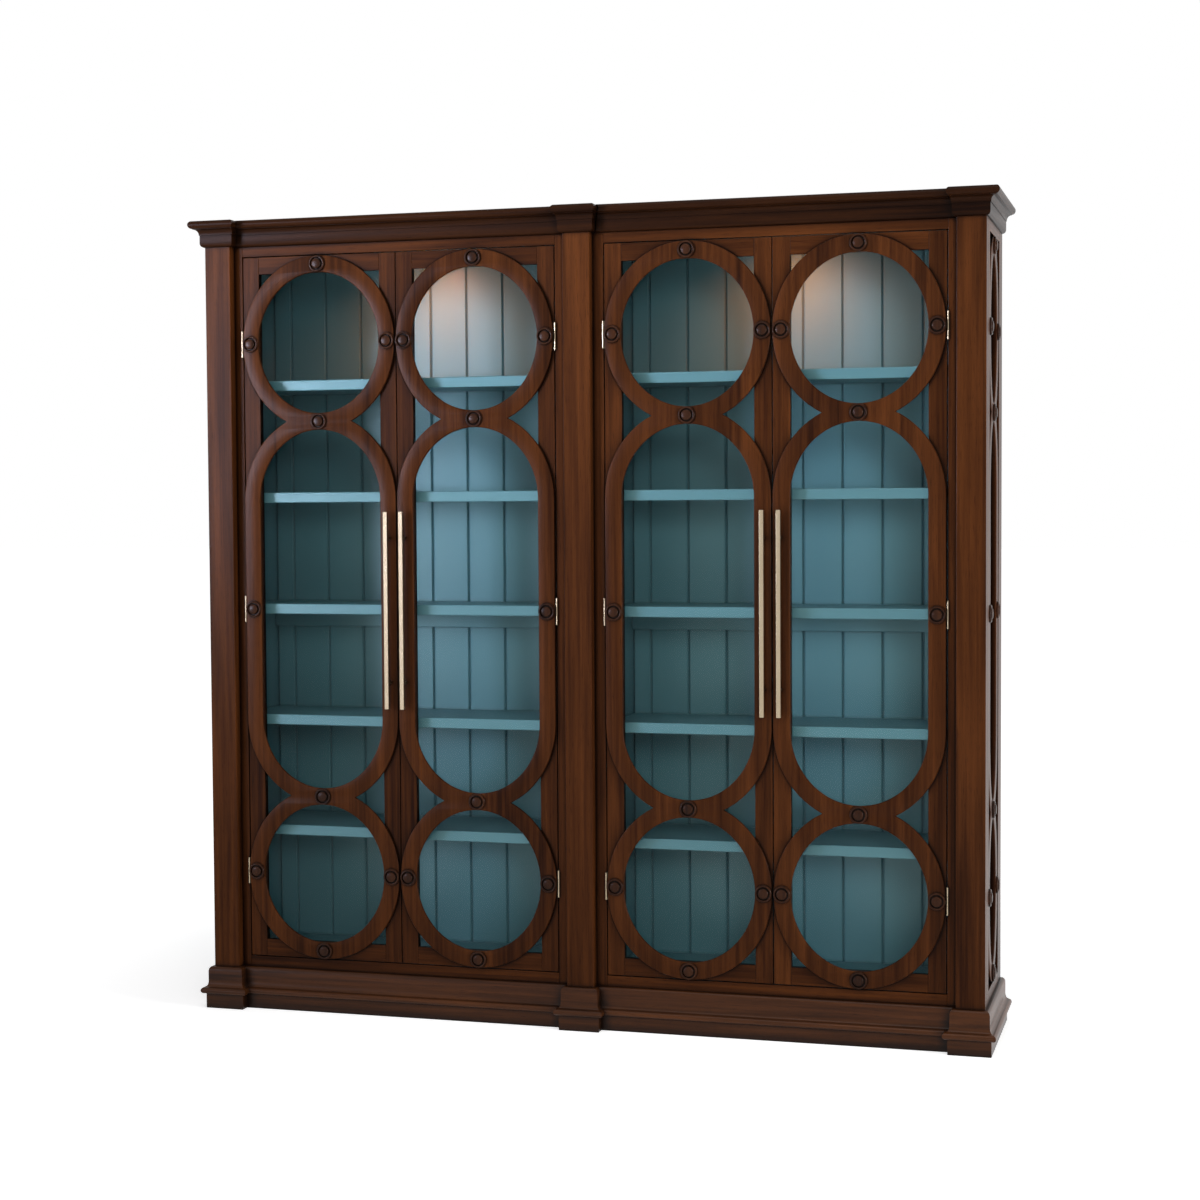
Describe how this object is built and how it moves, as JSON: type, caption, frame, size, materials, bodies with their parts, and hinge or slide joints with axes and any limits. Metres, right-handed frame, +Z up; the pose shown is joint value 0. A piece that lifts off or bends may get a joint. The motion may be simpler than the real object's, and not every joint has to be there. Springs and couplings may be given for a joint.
{
  "type": "chinese book cabinet",
  "caption": "Tall double-width display bookcase with glazed hinged doors behind ring fretwork, pilasters, moulded base and cornice, loose shelves and a boarded back.",
  "frame": {"origin": "on the floor, at the middle of the footprint of the whole case, mouldings included", "axes": "+X right as seen from the front, +Y to the back, +Z up"},
  "size_m": [2.322, 0.457, 2.3],
  "materials": {
    "walnut": "dark stained walnut, satin lacquer",
    "painted_inside": "blue-green eggshell paint",
    "brass": "satin brass",
    "glass": "clear float glass",
    "lamp": "opal light with a plain rim"
  },
  "bodies": {
    "carcass": {"frame_hinge_leaves": "brass", "left_back_boards": "painted_inside", "left_base_moulding": "walnut", "left_bottom_board": "painted_inside", "left_cornice": "walnut", "left_end_frame": "walnut", "left_end_fretwork": "walnut", "left_end_liner": "painted_inside", "left_face_frame": "walnut", "left_inner_side": "painted_inside", "left_pilaster": "walnut", "left_shelf_1": "painted_inside", "left_shelf_2": "painted_inside", "left_shelf_3": "painted_inside", "left_shelf_4": "painted_inside", "left_shelf_5": "painted_inside", "left_top_board": "painted_inside", "middle_pilaster": "walnut", "puck_lights": "lamp", "right_back_boards": "painted_inside", "right_base_moulding": "walnut", "right_bottom_board": "painted_inside", "right_cornice": "walnut", "right_end_frame": "walnut", "right_end_fretwork": "walnut", "right_end_liner": "painted_inside", "right_face_frame": "walnut", "right_inner_side": "painted_inside", "right_pilaster": "walnut", "right_shelf_1": "painted_inside", "right_shelf_2": "painted_inside", "right_shelf_3": "painted_inside", "right_shelf_4": "painted_inside", "right_shelf_5": "painted_inside", "right_top_board": "painted_inside", "shelf_pins": "brass"},
    "door_1": {"door_1_bosses": "walnut", "door_1_frame": "walnut", "door_1_glass": "glass", "door_1_handle": "brass", "door_1_hinge_leaves": "brass", "door_1_rings": "walnut"},
    "door_2": {"door_2_bosses": "walnut", "door_2_frame": "walnut", "door_2_glass": "glass", "door_2_handle": "brass", "door_2_hinge_leaves": "brass", "door_2_rings": "walnut"},
    "door_3": {"door_3_bosses": "walnut", "door_3_frame": "walnut", "door_3_glass": "glass", "door_3_handle": "brass", "door_3_hinge_leaves": "brass", "door_3_rings": "walnut"},
    "door_4": {"door_4_bosses": "walnut", "door_4_frame": "walnut", "door_4_glass": "glass", "door_4_handle": "brass", "door_4_hinge_leaves": "brass", "door_4_rings": "walnut"}
  },
  "joints": [
    {"name": "door_1_hinge", "type": "hinge", "parent": "carcass", "child": "door_1", "pos_m": [-1.0209, -0.165, 1.1745], "axis": [0, 0, -1], "range_deg": [0, 105]},
    {"name": "door_2_hinge", "type": "hinge", "parent": "carcass", "child": "door_2", "pos_m": [-0.0696, -0.165, 1.1745], "axis": [0, 0, 1], "range_deg": [0, 90]},
    {"name": "door_3_hinge", "type": "hinge", "parent": "carcass", "child": "door_3", "pos_m": [0.0696, -0.165, 1.1745], "axis": [0, 0, -1], "range_deg": [0, 90]},
    {"name": "door_4_hinge", "type": "hinge", "parent": "carcass", "child": "door_4", "pos_m": [1.0209, -0.165, 1.1745], "axis": [0, 0, 1], "range_deg": [0, 105]}
  ]
}
